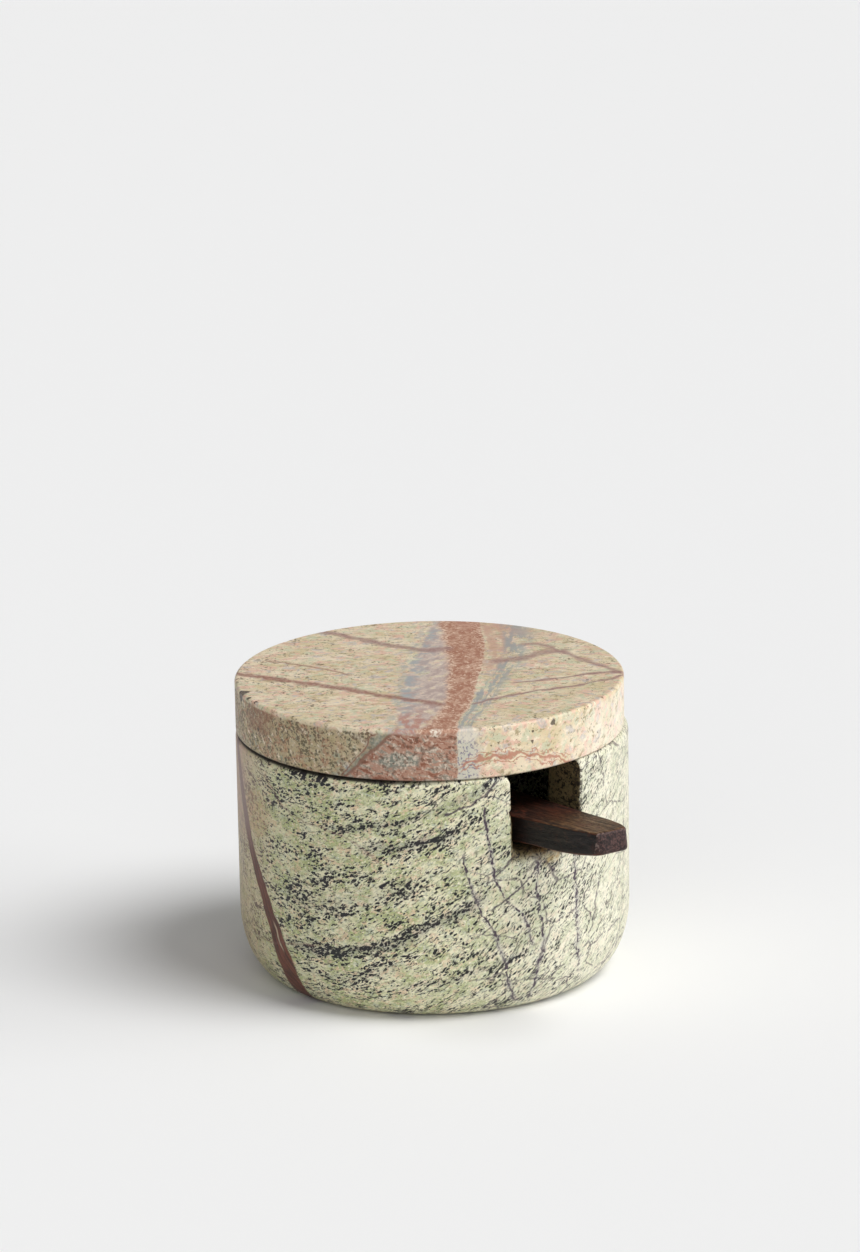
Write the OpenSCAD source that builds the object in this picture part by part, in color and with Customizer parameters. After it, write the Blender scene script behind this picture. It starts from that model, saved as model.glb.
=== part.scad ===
// Salt cellar: a turned stone pot with a notch in its rim, a stone lid that drops onto it, and a wooden
// spoon whose handle lies in the notch. Millimetres. The origin is the centre of the foot, on the table,
// +X points through the notch and +Z up.

/* [Pot] */
// Outside diameter of the pot
pot_d = 90; // [70:1:120]
// Height of the pot, from the table to its rim
pot_h = 57.2; // [50:0.1:80]
// Thickness of the wall at the rim
wall_t = 11.6; // [6:0.1:14]
// Thickness of the floor at its middle
floor_t = 14; // [8:0.5:18]
// How far down from the rim the hollow stays straight
straight_h = 9.8; // [6:0.1:14]
// How far the rounded heel reaches in from the side
heel_w = 8.6; // [4:0.1:14]
// How far the rounded heel reaches up from the table
heel_h = 15.6; // [6:0.1:20]
// Radius of the rim's outer edge
rim_r = 1.8; // [0.5:0.1:3]

/* [Notch] */
// Width of the notch at the rim
notch_w = 19.2; // [18.4:0.1:26]
// Depth of the notch below the rim
notch_depth = 18.3; // [16:0.1:22]
// How much each side of the notch leans in by the time it reaches the floor
notch_draft = 0.6; // [0:0.1:1]
// Radius between the notch's floor and its sides
notch_corner_r = 3; // [1:0.1:4]
// Radius of the outer edge of the notch's floor
notch_lip_r = 1.8; // [0.5:0.1:2.5]
// Radius of the notch's corners at the rim
notch_top_r = 0.9; // [0.3:0.1:1.5]

/* [Lid] */
// Diameter of the lid
lid_d = 89; // [80:0.5:96]
// Thickness of the lid above the rim
lid_t = 11.8; // [6:0.1:16]
// Radius of the lid's top edge
lid_top_r = 0.7; // [0.3:0.1:2]
// Radius of the lid's bottom edge
lid_low_r = 0.4; // [0.2:0.1:1]
// Height of the step under the lid that drops into the pot
step_h = 2.5; // [1.5:0.1:4]
// Clearance all round between the lid's step and the pot
step_clear = 1; // [0.6:0.1:2]
// Which way the lid has slid on the rim, in degrees from the notch
lid_slip_turn = -125; // [-180:1:180]

/* [Spoon] */
// Clearance on each side of the spoon's head where it passes the foot of the notch
head_clear = 0.6; // [0.5:0.1:2]
// Thickness of the spoon at the end of its head
head_t = 9.5; // [8:0.1:11]
// Width of the handle near its end, before the end draws in
handle_w = 9.7; // [7:0.1:13]
// Thickness of the handle at its end
handle_t = 5; // [4:0.1:6]
// How far the handle stands out past the side of the pot
handle_out = 25.7; // [15:0.1:40]
// Length over which the handle widens from its end
handle_taper_l = 51; // [30:1:60]
// Length over which the handle's end draws in
tip_l = 10; // [5:0.5:15]
// Width of the flat face at the handle's end
tip_w = 6.7; // [4:0.1:7]
// Depth of the spoon's hollow
scoop_depth = 5.5; // [4.5:0.1:6]
// Length of the straight part of the spoon's hollow
scoop_l = 14; // [6:0.5:20]
// Thickness of the edge round the hollow
scoop_rim = 1.8; // [1:0.1:3]
// How far the underside of the head curves up
prow_h = 6; // [3:0.1:7]
// Length over which the underside of the head curves up
prow_l = 10; // [5:0.5:14]
// Gap between the spoon and the notch's floor that it leans on
spoon_clear = 0.3; // [0.2:0.05:0.5]
// Gap between the front of the spoon's head and the far side of the hollow
prow_clear = 0.5; // [0.4:0.05:1]
// How steeply the spoon's underside climbs towards the end of its handle, in degrees
spoon_slope = 8.2; // [5:0.1:10]
// How far the handle points to one side of the notch's middle, in degrees
spoon_turn = -1.3; // [-2:0.1:2]

/* [Hidden] */

$fn = 128;
arc_steps = 12;
hollow_steps = 24;
overrun = 1;
// The lid has slid by this share of its clearance
lid_slip_share = 0.42;

pot_r = pot_d / 2;
hollow_r = pot_r - wall_t;
round_top_z = pot_h - straight_h;
round_h = round_top_z - floor_t;

notch_floor_z = pot_h - notch_depth;
// Half the notch's width at height z
function notch_half(z) = notch_w / 2 - notch_draft * (pot_h - z) / notch_depth;

// The spoon's head just passes through the notch, so its lower edges are rounded like the notch's corners
head_w = 2 * (notch_half(notch_floor_z) - head_clear);
belly_r = notch_corner_r;
scoop_r = head_w / 2 - scoop_rim;

// The spoon rides on the inner edge of the notch's floor
edge_share = (round_top_z - notch_floor_z) / round_h;
seat_x = hollow_r * (notch_floor_z < round_top_z ? sqrt(1 - pow(edge_share, 2)) : 1);
seat_z = notch_floor_z + spoon_clear;

// Where the head ends, along the underside from the seat: the prow stops short of the far side of the hollow,
// which is an ellipse, so heights are stretched to make it a circle
stretch = hollow_r / round_h;
prow_x = seat_x - prow_h * sin(spoon_slope);
prow_z = stretch * (seat_z + prow_h * cos(spoon_slope) - round_top_z);
run_x = cos(spoon_slope);
run_z = stretch * sin(spoon_slope);
run_sq = pow(run_x, 2) + pow(run_z, 2);
run_dot = prow_x * run_x + prow_z * run_z;
gap_sq = pow(prow_x, 2) + pow(prow_z, 2) - pow(hollow_r - prow_clear, 2);
head_x = (-run_dot - sqrt(pow(run_dot, 2) - run_sq * gap_sq)) / run_sq;
end_x = (pot_r + handle_out - seat_x) / cos(spoon_slope);
spoon_l = end_x - head_x;

taper_x = end_x - handle_taper_l;
tip_x = end_x - tip_l;
// Half the spoon's width at x, outside its round head
function spoon_half(x) =
    let (taper_share = max(0, (x - taper_x) / handle_taper_l), tip_share = max(0, (x - tip_x) / tip_l))
    (head_w - (head_w - handle_w) * taper_share - (handle_w - tip_w) * pow(tip_share, 2)) / 2;
// Thickness of the spoon at x
function spoon_thick(x) = head_t - (head_t - handle_t) * (x - head_x) / spoon_l;

scoop_x = head_x + scoop_rim + scoop_r;
scoop_z = spoon_thick(scoop_x) - scoop_depth + scoop_r;

// Points along a quarter turn round [x, y], from angle a, with a radius each way
function quarter(x, y, rx, ry, a, steps) =
    [for (i = [0:steps]) let (b = a + 90 * i / steps) [x + rx * cos(b), y + ry * sin(b)]];
function backwards(points) = [for (i = [len(points) - 1:-1:0]) points[i]];
function mirrored(points) = [for (p = backwards(points)) [-p[0], p[1]]];

module pot_outline() {
    heel = quarter(pot_r - heel_w, heel_h, heel_w, heel_h, -90, arc_steps);
    rim = quarter(pot_r - rim_r, pot_h - rim_r, rim_r, rim_r, 0, arc_steps);
    hollow = backwards(quarter(0, round_top_z, hollow_r, round_h, -90, hollow_steps));
    polygon(concat([[0, 0]], heel, rim, [[hollow_r, pot_h]], hollow));
}

// The notch seen from outside, its foot rounded in and its top rounded out
module notch_outline() {
    corner_z = notch_floor_z + notch_corner_r;
    corner = quarter(notch_half(corner_z) - notch_corner_r, corner_z, notch_corner_r, notch_corner_r, -90, arc_steps);
    top_z = pot_h - notch_top_r;
    top = backwards(quarter(notch_half(top_z) + notch_top_r, top_z, notch_top_r, notch_top_r, 90, arc_steps));
    side = concat(corner, top, [[notch_half(top_z) + notch_top_r, pot_h + overrun]]);
    polygon(concat(side, mirrored(side)));
}

// Rounds the outer edge of the notch's floor, between its corners
module notch_lip() {
    lip_half = notch_half(notch_floor_z) - notch_corner_r;
    lip_z = notch_floor_z - notch_lip_r;
    intersection() {
        translate([0, -lip_half, lip_z])
            cube([pot_d, 2 * lip_half, notch_depth]);
        rotate_extrude()
            translate([pot_r - notch_lip_r, lip_z])
                difference() {
                    square(notch_lip_r + overrun);
                    circle(notch_lip_r);
                }
    }
}

module pot() {
    color("#b8bd96")
        difference() {
            rotate_extrude()
                pot_outline();
            rotate([90, 0, 90])
                linear_extrude(pot_d)
                    notch_outline();
            notch_lip();
        }
}

module lid_outline() {
    lid_r = lid_d / 2;
    step_r = hollow_r - step_clear;
    low = quarter(lid_r - lid_low_r, lid_low_r, lid_low_r, lid_low_r, -90, arc_steps);
    top = quarter(lid_r - lid_top_r, lid_t - lid_top_r, lid_top_r, lid_top_r, 0, arc_steps);
    step = [[0, -step_h], [step_r - lid_low_r, -step_h], [step_r, lid_low_r - step_h], [step_r, 0]];
    polygon(concat(step, low, top, [[0, lid_t]]));
}

module lid() {
    slip = step_clear * lid_slip_share;
    color("#cdb899")
        translate([slip * cos(lid_slip_turn), slip * sin(lid_slip_turn), pot_h])
            rotate_extrude()
                lid_outline();
}

// The spoon seen from above: a round head, a handle that narrows, and an end that draws in
module spoon_plan() {
    head = backwards(quarter(head_x + head_w / 2, 0, head_w / 2, head_w / 2, 90, arc_steps));
    end = [for (i = [0:arc_steps]) let (x = tip_x + tip_l * i / arc_steps) [x, spoon_half(x)]];
    side = concat(head, [[taper_x, head_w / 2]], end);
    other_side = [for (i = [len(side) - 1:-1:1]) [side[i][0], -side[i][1]]];
    polygon(concat(side, other_side));
}

// The spoon seen from the side: flat below, with a prow that curves up, and thinner towards its end
module spoon_profile() {
    prow = backwards(quarter(head_x + prow_l, prow_h, prow_l, prow_h, 180, arc_steps));
    polygon(concat(prow, [[head_x, head_t], [end_x, handle_t], [end_x, 0]]));
}

// The spoon cut across, its lower edges rounded
module spoon_section() {
    belly = quarter(head_w / 2 - belly_r, belly_r, belly_r, belly_r, -90, arc_steps);
    side = concat(belly, [[head_w / 2, head_t]]);
    polygon(concat(side, mirrored(side)));
}

// A round-bottomed trough with round ends
module scoop() {
    translate([scoop_x, 0, scoop_z]) {
        sphere(scoop_r);
        rotate([0, 90, 0])
            cylinder(h = scoop_l, r = scoop_r);
        translate([scoop_l, 0, 0])
            sphere(scoop_r);
    }
}

module spoon() {
    color("#4b3229")
        translate([seat_x, 0, seat_z])
            rotate([0, -spoon_slope, spoon_turn])
                difference() {
                    intersection() {
                        linear_extrude(head_t)
                            spoon_plan();
                        rotate([90, 0, 0])
                            linear_extrude(head_w, center = true)
                                spoon_profile();
                        translate([head_x, 0, 0])
                            rotate([90, 0, 90])
                                linear_extrude(spoon_l)
                                    spoon_section();
                    }
                    scoop();
                }
}

pot();
lid();
spoon();
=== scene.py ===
"""Stone salt cellar: a notched pot, a loose lid and a wooden spoon on a pale floor, lit from the right."""
import math

import bmesh
import bpy
import numpy as np
from mathutils import Matrix, Vector


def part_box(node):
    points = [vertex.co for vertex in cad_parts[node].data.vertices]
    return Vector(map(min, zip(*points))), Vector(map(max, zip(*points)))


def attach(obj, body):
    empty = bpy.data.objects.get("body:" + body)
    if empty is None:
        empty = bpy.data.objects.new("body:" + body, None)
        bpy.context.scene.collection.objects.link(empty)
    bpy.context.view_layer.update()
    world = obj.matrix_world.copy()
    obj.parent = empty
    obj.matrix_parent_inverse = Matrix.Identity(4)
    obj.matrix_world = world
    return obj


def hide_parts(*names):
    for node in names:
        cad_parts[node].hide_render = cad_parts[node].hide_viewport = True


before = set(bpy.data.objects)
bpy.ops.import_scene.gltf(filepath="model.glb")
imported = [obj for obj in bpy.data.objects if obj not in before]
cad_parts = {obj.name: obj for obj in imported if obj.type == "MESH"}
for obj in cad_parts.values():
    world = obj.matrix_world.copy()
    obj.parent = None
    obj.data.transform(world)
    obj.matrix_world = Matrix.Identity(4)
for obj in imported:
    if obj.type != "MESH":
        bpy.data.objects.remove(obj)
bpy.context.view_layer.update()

# Millimetres to metres
MM = 0.001

# Seen from the photograph's side, the notch lies this many degrees to the right
NOTCH_BEARING = 34.8

# Pot and lid, in millimetres, from the frame and from the photograph
pot_low, pot_high = (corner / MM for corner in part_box("pot"))
lid_low, lid_high = (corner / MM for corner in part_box("lid"))
POT_R = (pot_high.x - pot_low.x) / 2
POT_H = pot_high.z
LID_R = (lid_high.x - lid_low.x) / 2
LID_TOP = lid_high.z
LID_X = (lid_high.x + lid_low.x) / 2
LID_Y = (lid_high.y + lid_low.y) / 2
WALL = 11.6
HOLLOW_R = POT_R - WALL
HOLLOW_FLOOR, STRAIGHT_H = 14, 9.8
ROUND_TOP = POT_H - STRAIGHT_H
HEEL_W, HEEL_H = 8.6, 15.6
RIM_ROUND, INNER_ROUND = 1.8, 0.6
NOTCH_HALF, NOTCH_DRAFT, NOTCH_DEPTH, NOTCH_ROUND = 9.6, 0.6, 18.3, 3
NOTCH_FLOOR = POT_H - NOTCH_DEPTH
LIP_ROUND, TOP_ROUND, SIDE_ROUND = 1.8, 0.9, 0.4
LID_EDGE, LID_LOW_EDGE = 0.7, 0.4
STEP_CLEAR, STEP_EDGE, STEP_ROOT = 1, 0.5, 1
STEP_R = HOLLOW_R - STEP_CLEAR
# How much more the deepest chips round the notch's edges and the lid's
POT_CHIP, LID_CHIP = 1.2, 0.8

# Spoon, in millimetres along its own underside from the notch's inner edge
SLOPE, TURN = math.radians(8.2), math.radians(-1.3)
SPOON_CLEAR, HANDLE_OUT = 0.3, 25.7
seat_share = (ROUND_TOP - NOTCH_FLOOR) / (ROUND_TOP - HOLLOW_FLOOR)
SEAT = Vector((HOLLOW_R * math.sqrt(1 - seat_share**2), 0, NOTCH_FLOOR + SPOON_CLEAR))
SPOON_END = (POT_R + HANDLE_OUT - SEAT.x) / math.cos(SLOPE)
SPOON_HEAD = -62.9
HEAD_HALF, HANDLE_HALF, TIP_HALF = 8.4, 4.85, 3.35
HEAD_T, HANDLE_T = 9.5, 5.0
TAPER_L, TIP_L = 51, 10
PROW_L, PROW_H, BELLY = 10, 6, 3
SCOOP_R, SCOOP_X, SCOOP_L, SCOOP_Z = 6.6, SPOON_HEAD + HEAD_HALF, 14, 10.2
EASED, SCOOP_EASED = 0.45, 0.4
# Where the handle is worn and where its end is blunt, from its end, and how far its underside bellies out
WORN_L, END_L, BLUNT_L, SAG = 18, 7, 4, 0.6


def smooth(value, low, high):
    """0 below low, 1 above high and an even rise between them."""
    share = np.clip((value - low) / (high - low), 0, 1)
    return share * share * (3 - 2 * share)


def round_max(a, b, radius):
    """The larger of two distances, the corner between them rounded off."""
    flat = np.minimum(np.maximum(a, b), -radius)
    return flat + np.hypot(np.maximum(a + radius, 0), np.maximum(b + radius, 0))


def ellipse(across, up, half_across, half_up):
    """Distance from an ellipse round zero, exact at its surface."""
    size = np.hypot(across / half_across, up / half_up)
    pull = np.hypot(across / half_across**2, up / half_up**2)
    return size * (size - 1) / np.maximum(pull, 1e-9)


def lumps(points, size, seed):
    """Smooth random values from 0 to 1, that change over about size."""
    table = np.random.default_rng(seed).random(4096)
    place = points / size
    base = np.floor(place).astype(np.int64)
    share = place - base
    share = share * share * (3 - 2 * share)
    total = np.zeros(points.shape[:-1])
    for corner in np.ndindex(2, 2, 2):
        spot = base + corner
        index = (spot[..., 0] * 73856093 ^ spot[..., 1] * 19349663 ^ spot[..., 2] * 83492791) & 4095
        weight = np.prod(np.where(corner, share, 1 - share), -1)
        total += weight * table[index]
    return total


def chipped(points, small, large, seed, low, high):
    """How chipped each place is, from 0 to 1, in chips of about small that gather over about large."""
    return smooth(lumps(points, small, seed) * lumps(points, large, seed + 1), low, high)


def steps(start, *stretches):
    """A rising row of places: each stretch is (where it ends, its step)."""
    row = [start]
    for end, step in stretches:
        count = max(1, round((end - row[-1]) / step))
        row += list(np.linspace(row[-1], end, count + 1)[1:])
    return np.array(row)


def turns(start, *stretches):
    """The same for turns, its stretches given in degrees."""
    return steps(math.radians(start), *([math.radians(angle) for angle in stretch] for stretch in stretches))


def contour(depth, axes, bend, closed):
    """The surface where depth is zero, as points and four-sided faces. The grid of three rising axes is bent
    into shape. With closed, the second axis runs round and meets itself."""
    points = bend(np.stack(np.meshgrid(*axes, indexing="ij"), -1))
    if closed:
        points = np.concatenate([points, points[:, :1]], 1)
    value = depth(points)
    cells = [n - 1 for n in value.shape]
    total = np.zeros(cells + [3])
    count = np.zeros(cells)
    crossings = []
    for axis in range(3):
        ends = np.arange(cells[axis])
        low, high = np.take(value, ends, axis), np.take(value, ends + 1, axis)
        crossed = (low < 0) != (high < 0)
        share = np.where(crossed, low / np.where(crossed, low - high, 1), 0)[..., None]
        spot = np.take(points, ends, axis) * (1 - share) + np.take(points, ends + 1, axis) * share
        one, other = (axis + 1) % 3, (axis + 2) % 3
        for i, j in np.ndindex(2, 2):
            part = [slice(None)] * 3
            part[one] = slice(i, i + cells[one])
            part[other] = slice(j, j + cells[other])
            total += np.where(crossed[tuple(part)][..., None], spot[tuple(part)], 0)
            count += crossed[tuple(part)]
        crossings.append((crossed, low < 0))
    used = count > 0
    number = np.full(cells, -1)
    number[used] = np.arange(used.sum())
    faces = []
    for axis, (crossed, from_inside) in enumerate(crossings):
        one, other = (axis + 1) % 3, (axis + 2) % 3
        at = np.argwhere(crossed)
        for side in (one, other):
            least = 0 if closed and side == 1 else 1
            at = at[(at[:, side] >= least) & (at[:, side] < cells[side])]
        ring = []
        for i, j in ((1, 1), (0, 1), (0, 0), (1, 0)):
            near = at.copy()
            near[:, one] = (near[:, one] - i) % cells[one]
            near[:, other] = (near[:, other] - j) % cells[other]
            ring.append(number[tuple(near.T)])
        ring = np.stack(ring, 1)
        outward = from_inside[tuple(at.T)]
        faces.append(np.where(outward[:, None], ring, ring[:, ::-1]))
    points = total[used] / count[used][:, None]
    for _ in range(5):
        slope = gradient(depth, points)
        step = np.clip(depth(points), -0.4, 0.4)[:, None]
        points = points - step * slope / np.maximum((slope**2).sum(1), 0.04)[:, None]
    return points, np.concatenate(faces)


def gradient(depth, points, reach=0.02):
    """Which way depth rises fastest at each point, and how fast."""
    rises = [depth(points + step) - depth(points - step) for step in np.eye(3) * reach]
    return np.stack(rises, 1) / (2 * reach)


def polar(grid):
    """Distance from the axis, turn and height, as places."""
    out, turn, up = np.moveaxis(grid, -1, 0)
    return np.stack([out * np.cos(turn), out * np.sin(turn), up], -1)


def make_piece(name, depth, axes, bend, closed=False, place=Matrix.Identity(4)):
    """A smooth mesh object of the surface where depth is zero, moved by place and made metres."""
    points, faces = contour(depth, axes, bend, closed)
    mesh = bpy.data.meshes.new(name)
    mesh.from_pydata(points.tolist(), [], faces.tolist())
    shape = bmesh.new()
    shape.from_mesh(mesh)
    open_edges = [edge for edge in shape.edges if edge.is_boundary]
    caps = bmesh.ops.holes_fill(shape, edges=open_edges)["faces"]
    bmesh.ops.poke(shape, faces=caps)
    bmesh.ops.recalc_face_normals(shape, faces=shape.faces)
    shape.to_mesh(mesh)
    shape.free()
    mesh.validate()
    points = np.empty(len(mesh.vertices) * 3)
    mesh.vertices.foreach_get("co", points)
    normals = gradient(depth, points.reshape(-1, 3))
    normals /= np.linalg.norm(normals, axis=1)[:, None]
    normals = normals @ np.array(place.to_3x3()).T
    mesh.transform(Matrix.Scale(MM, 4) @ place)
    mesh.polygons.foreach_set("use_smooth", [True] * len(mesh.polygons))
    mesh.normals_split_custom_set_from_vertices(normals.tolist())
    piece = bpy.data.objects.new(name, mesh)
    bpy.context.scene.collection.objects.link(piece)
    return piece


def notch_depth(points):
    """Distance outside the notch that is cut through the wall."""
    x, y, z = np.moveaxis(points, -1, 0)
    half = NOTCH_HALF - NOTCH_DRAFT * (POT_H - z) / NOTCH_DEPTH
    return np.maximum(round_max(np.abs(y) - half, NOTCH_FLOOR - z, NOTCH_ROUND), -x)


def pot_depth(points):
    """Distance outside the stone of the pot."""
    x, y, z = np.moveaxis(points, -1, 0)
    out = np.hypot(x, y)
    heel = ellipse(out - (POT_R - HEEL_W), z - HEEL_H, HEEL_W, HEEL_H)
    side = np.where((z < HEEL_H) & (out > POT_R - HEEL_W), heel, np.maximum(out - POT_R, -z))
    hollow = -ellipse(out, z - ROUND_TOP, HOLLOW_R, ROUND_TOP - HOLLOW_FLOOR)
    hollow = np.where(z > ROUND_TOP, HOLLOW_R - out, hollow)
    solid = round_max(round_max(side, z - POT_H, RIM_ROUND), hollow, INNER_ROUND)
    low = 1 - smooth(z, NOTCH_FLOOR + 0.5, NOTCH_FLOOR + 2.5)
    outer = smooth(out, POT_R - 5, POT_R - 3)
    high = smooth(z, POT_H - 2, POT_H - 0.8)
    edge = SIDE_ROUND + (LIP_ROUND - SIDE_ROUND) * low * outer + (TOP_ROUND - SIDE_ROUND) * high
    edge = edge + POT_CHIP * chipped(points, 0.9, 3.1, 3, 0.36, 0.7) * smooth(out, POT_R - 4, POT_R - 2)
    return round_max(solid, -notch_depth(points), edge)


def lid_depth(points):
    """Distance outside the stone of the lid."""
    x, y, z = np.moveaxis(points, -1, 0)
    out = np.hypot(x - LID_X, y - LID_Y)
    chips = chipped(points, 1.3, 5.3, 5, 0.5, 0.8)
    disc = round_max(out - LID_R, z - LID_TOP, LID_EDGE + LID_CHIP * chips)
    disc = round_max(disc, POT_H - z, LID_LOW_EDGE)
    step = np.maximum(round_max(out - STEP_R, lid_low.z - z, STEP_EDGE), z - POT_H - STEP_ROOT)
    return np.minimum(disc, step)


def spoon_half(x):
    """Half the spoon's width, behind its round head."""
    taper = np.clip((x - SPOON_END) / TAPER_L + 1, 0, None)
    tip = np.clip((x - SPOON_END) / TIP_L + 1, 0, None)
    return HEAD_HALF - (HEAD_HALF - HANDLE_HALF) * taper - (HANDLE_HALF - TIP_HALF) * tip**2


def spoon_top(x):
    """The spoon's thickness."""
    return HEAD_T - (HEAD_T - HANDLE_T) * (x - SPOON_HEAD) / (SPOON_END - SPOON_HEAD)


def spoon_depth(points):
    """Distance outside the wood of the spoon, lying along x with its underside at zero."""
    x, y, z = np.moveaxis(points, -1, 0)
    middle = SPOON_HEAD + HEAD_HALF
    worn = smooth(x, SPOON_END - WORN_L, SPOON_END - END_L)
    end = smooth(x, SPOON_END - END_L, SPOON_END)
    half = spoon_half(x) + worn * np.where(y < 0, 0.4, 0.25) + 0.35 * end
    side = np.where(x < middle, np.hypot(x - middle, y) - HEAD_HALF, np.abs(y) - half)
    share = np.clip(z / spoon_top(x), 0, 1)
    side = round_max(side, x - SPOON_END, np.where(y < 0, 2.2 - 1.7 * share, 1.4))
    prow = ellipse(x - SPOON_HEAD - PROW_L, z - PROW_H, PROW_L, PROW_H)
    sag = SAG * smooth(x, 12, 28) * (1 - 0.5 * end)
    under = np.where((x < SPOON_HEAD + PROW_L) & (z < PROW_H), prow, -z - sag)
    under = round_max(np.abs(y) - HEAD_HALF, under, BELLY)
    carved = 0.07 * lumps(points * (0.4, 1, 1), 4, 7) + 0.05 * lumps(points * (0.3, 1, 1), 1.5, 8)
    blunt = smooth(x, SPOON_END - BLUNT_L, SPOON_END - 1)
    body = round_max(side, under, EASED + 0.6 * worn)
    body = round_max(body, z - spoon_top(x), EASED + 0.4 * blunt) + carved
    reach = np.clip(x, SCOOP_X, SCOOP_X + SCOOP_L) - x
    scoop = SCOOP_R - np.sqrt(reach**2 + y**2 + (z - SCOOP_Z) ** 2)
    return round_max(body, scoop, SCOOP_EASED)


def about_lid(grid):
    """Distance from the lid's axis, turn and height, as places."""
    return polar(grid) + (LID_X, LID_Y, 0)


def about_spoon(grid):
    """A box of shares, bent to the spoon's width and thickness."""
    x, across, up = np.moveaxis(grid, -1, 0)
    return np.stack([x, across * np.maximum(spoon_half(x), TIP_HALF), up * spoon_top(x)], -1)


# The grids that the pieces are cut from are finer where edges are: distances from the axis, turns and levels
pot_rings = steps(0, (30, 2), (34.8, 0.3), (41.6, 0.9), (45.5, 0.25))
pot_turns = turns(-20, (-8, 0.4), (8, 1.2), (20, 0.4), (340, 2.4))[:-1]
pot_levels = steps(-0.6, (0.6, 0.3), (13.7, 1.2), (36, 1.5), (42, 0.35), (52, 0.6), (57.8, 0.28))
pot = make_piece("pot_stone", pot_depth, (pot_rings, pot_turns, pot_levels), polar, closed=True)

lid_rings = steps(0, (30, 3), (33, 0.3), (42.8, 1.6), (45, 0.2))
lid_turns = turns(0, (360, 1.5))[:-1]
lid_levels = steps(54, (55.6, 0.25), (58.2, 0.22), (67.6, 1), (69.6, 0.2))
lid = make_piece("lid_stone", lid_depth, (lid_rings, lid_turns, lid_levels), about_lid, closed=True)

# Along the spoon in millimetres, and across and up in shares of its half-width and thickness
spoon_row = steps(SPOON_HEAD - 0.5, (SPOON_HEAD + 3, 0.3), (-30, 0.5), (26, 0.7), (SPOON_END + 0.6, 0.25))
spoon_across = steps(-1.35, (-0.7, 0.05), (0.7, 0.09), (1.35, 0.05))
spoon_up = steps(-0.25, (0.4, 0.05), (0.8, 0.08), (1.1, 0.05))
spoon_place = Matrix.Translation(SEAT) @ Matrix.Rotation(TURN, 4, "Z") @ Matrix.Rotation(-SLOPE, 4, "Y")
spoon_axes = (spoon_row, spoon_across, spoon_up)
spoon = make_piece("spoon_wood", spoon_depth, spoon_axes, about_spoon, place=spoon_place)

# Image right, and toward the camera, along the floor
ACROSS = math.radians(90 - NOTCH_BEARING)
RIGHT = Vector((math.cos(ACROSS), math.sin(ACROSS), 0))
NEAR = Vector((RIGHT.y, -RIGHT.x, 0))


def rgb(red, green, blue):
    """A colour as screens write it, made linear."""
    shares = [value / 255 for value in (red, green, blue)]
    return (*(v / 12.92 if v <= 0.04045 else ((v + 0.055) / 1.055) ** 2.4 for v in shares), 1)


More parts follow.
